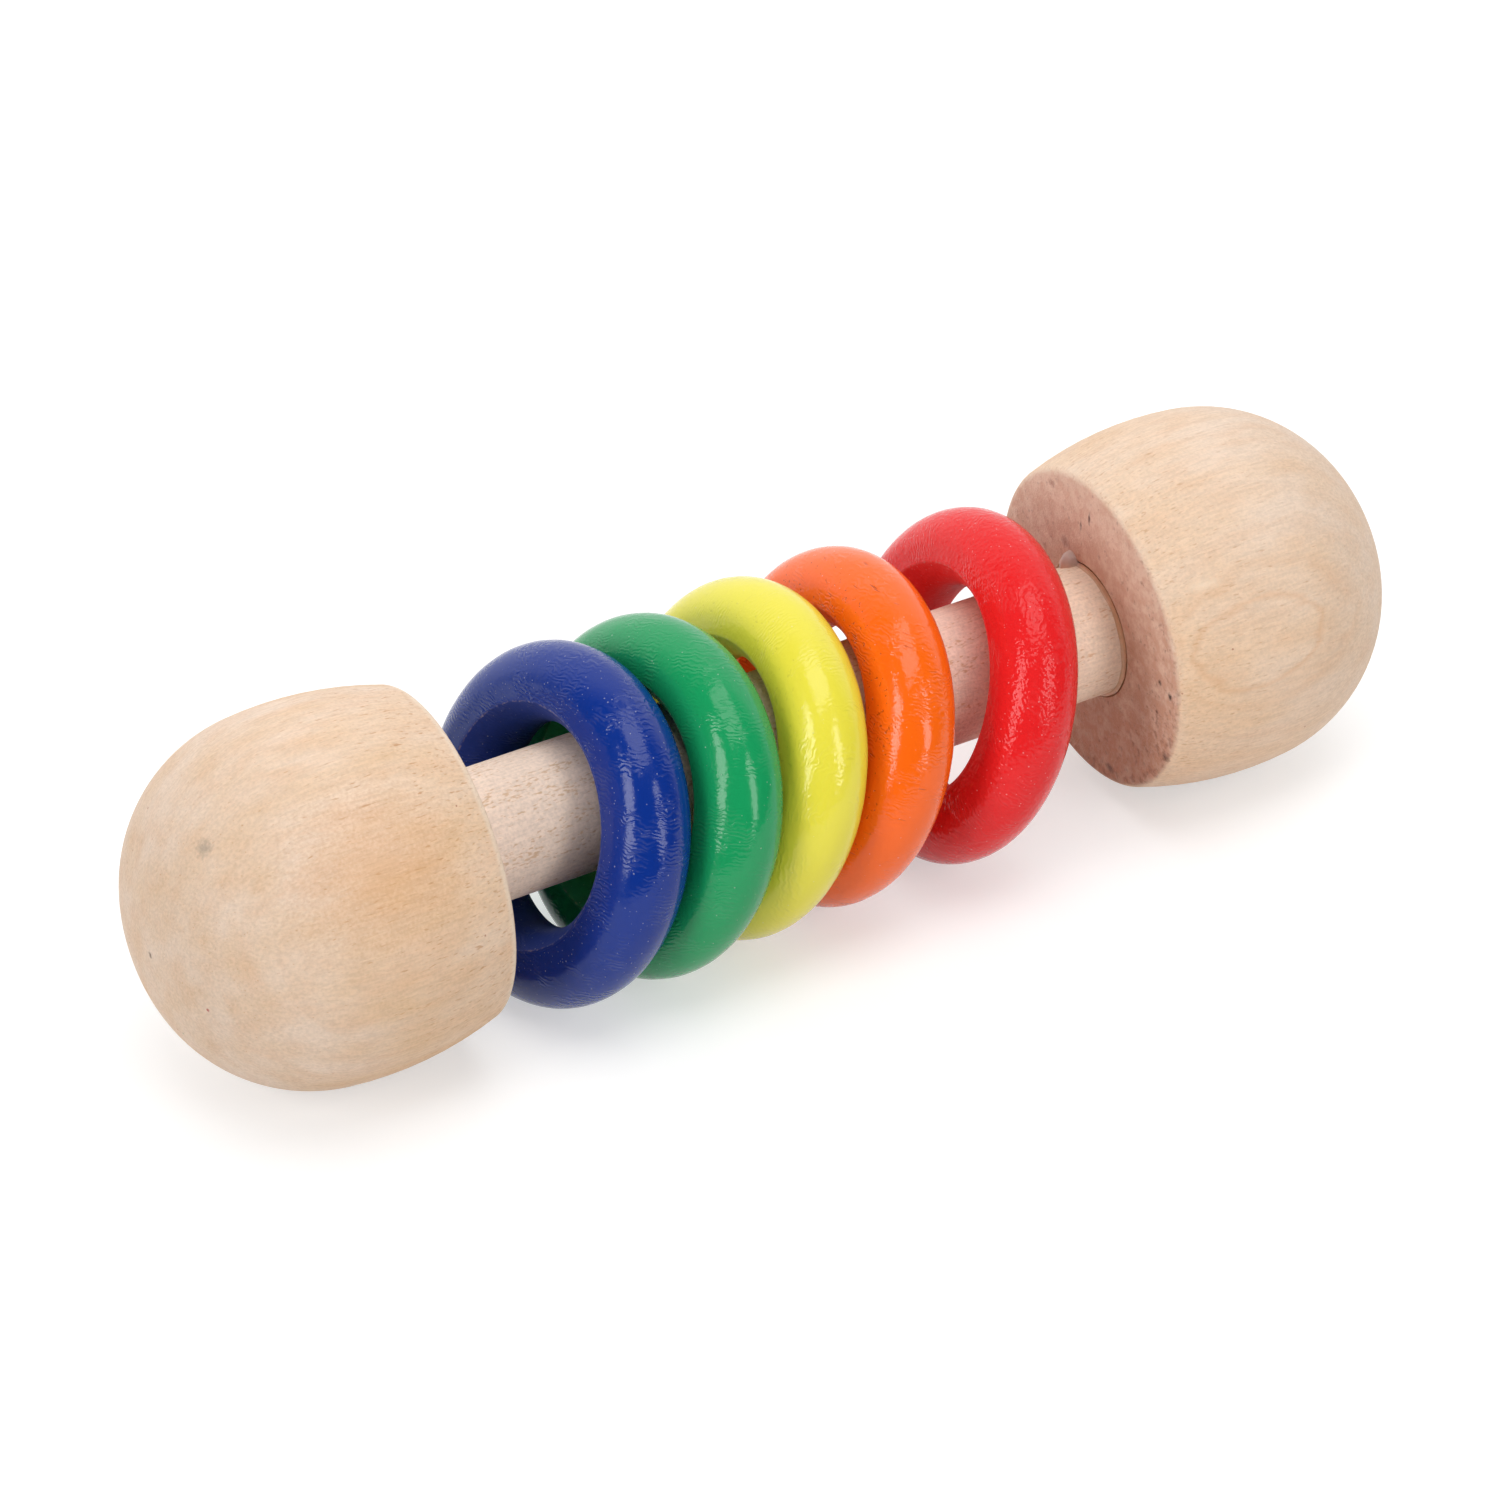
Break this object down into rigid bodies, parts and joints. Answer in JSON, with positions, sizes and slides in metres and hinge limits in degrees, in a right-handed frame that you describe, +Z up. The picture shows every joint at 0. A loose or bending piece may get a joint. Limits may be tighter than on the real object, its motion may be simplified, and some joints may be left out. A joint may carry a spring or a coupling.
{
  "type": "ring rattle",
  "caption": "Wooden baby rattle: domed turned knobs glued to the ends of a dowel that carries loose lacquered rings in bright colours, which slide and clack when it is shaken.",
  "frame": {"origin": "on the table, under the middle of the dowel and midway between the knobs", "axes": "+X along the dowel from the blue ring's end to the red ring's end, +Z up"},
  "size_m": [0.1456, 0.04, 0.04],
  "materials": {
    "knob_wood": "turned and sanded pale hardwood under a thin clear oil, satin",
    "dowel_wood": "plain sanded pale hardwood, matt",
    "cured_glue": "cured white wood glue, translucent and slightly yellow",
    "blue_lacquer": "hardwood under gloss blue lacquer",
    "green_lacquer": "hardwood under gloss green lacquer",
    "yellow_lacquer": "hardwood under gloss yellow lacquer",
    "orange_lacquer": "hardwood under gloss orange lacquer",
    "red_lacquer": "hardwood under gloss red lacquer"
  },
  "bodies": {
    "handle": {"handle_dowel": "dowel_wood", "left_knob": "knob_wood", "right_knob": "knob_wood", "left_glue_joint": "cured_glue", "right_glue_joint": "cured_glue"},
    "blue_ring": {"blue_ring": "blue_lacquer"},
    "green_ring": {"green_ring": "green_lacquer"},
    "yellow_ring": {"yellow_ring": "yellow_lacquer"},
    "orange_ring": {"orange_ring": "orange_lacquer"},
    "red_ring": {"red_ring": "red_lacquer"}
  },
  "joints": [
    {"name": "blue_ring_slide", "type": "slide", "parent": "handle", "child": "blue_ring", "axis": [1, 0, 0], "range_m": [-0.0035, 0.00026]},
    {"name": "green_ring_slide", "type": "slide", "parent": "handle", "child": "green_ring", "axis": [1, 0, 0], "range_m": [-0.00026, 0.00028]},
    {"name": "yellow_ring_slide", "type": "slide", "parent": "handle", "child": "yellow_ring", "axis": [1, 0, 0], "range_m": [-0.00028, 0.00031]},
    {"name": "orange_ring_slide", "type": "slide", "parent": "handle", "child": "orange_ring", "axis": [1, 0, 0], "range_m": [-0.00031, 0.00453]},
    {"name": "red_ring_slide", "type": "slide", "parent": "handle", "child": "red_ring", "axis": [1, 0, 0], "range_m": [-0.00453, 0.006]}
  ]
}
